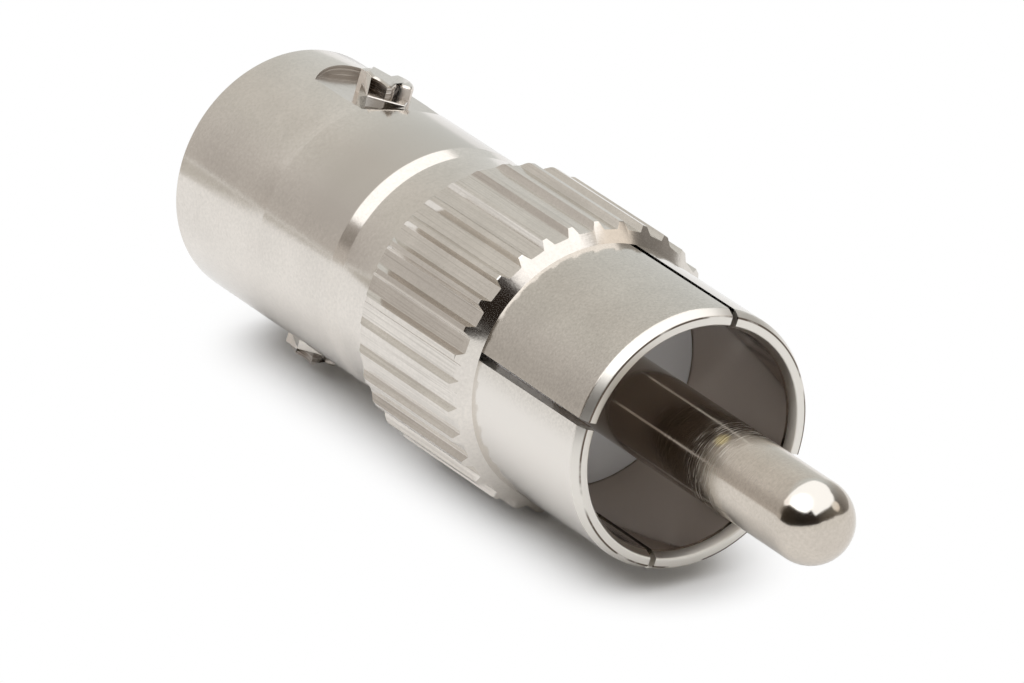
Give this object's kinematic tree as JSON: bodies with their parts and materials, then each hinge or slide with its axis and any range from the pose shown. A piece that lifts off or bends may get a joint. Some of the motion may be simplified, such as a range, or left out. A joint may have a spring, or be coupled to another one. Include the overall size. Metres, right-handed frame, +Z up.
{
  "type": "bnc to rca adapter",
  "caption": "Straight coaxial adapter: bayonet socket with two lugs at one end, knurled collar, and a phono plug with a slotted ground sleeve and round-nosed pin at the other.",
  "frame": {"origin": "on the adapter's axis, in the plane of the ground sleeve's open rim", "axes": "+X along the axis towards the plug's pin, +Z up as the adapter lies on two ridges of its knurled collar, with the bayonet lugs nearly above and below the axis"},
  "size_m": [0.0363, 0.0112, 0.0112],
  "materials": {
    "nickel_body": "satin nickel plate over brass",
    "nickel_sleeve": "bright nickel plate over brass",
    "nickel_pin": "nickel plate over brass, with fine turning scratches",
    "white_plastic": "smooth white plastic",
    "nose_plastic": "smooth white plastic",
    "contact_metal": "plated spring brass"
  },
  "bodies": {
    "root": {"bayonet_body": "nickel_body", "rca_ground_sleeve": "nickel_sleeve", "rca_centre_pin": "nickel_pin", "rca_insulator": "white_plastic", "bnc_insulator": "nose_plastic", "bnc_socket_contact": "contact_metal"}
  },
  "joints": []
}
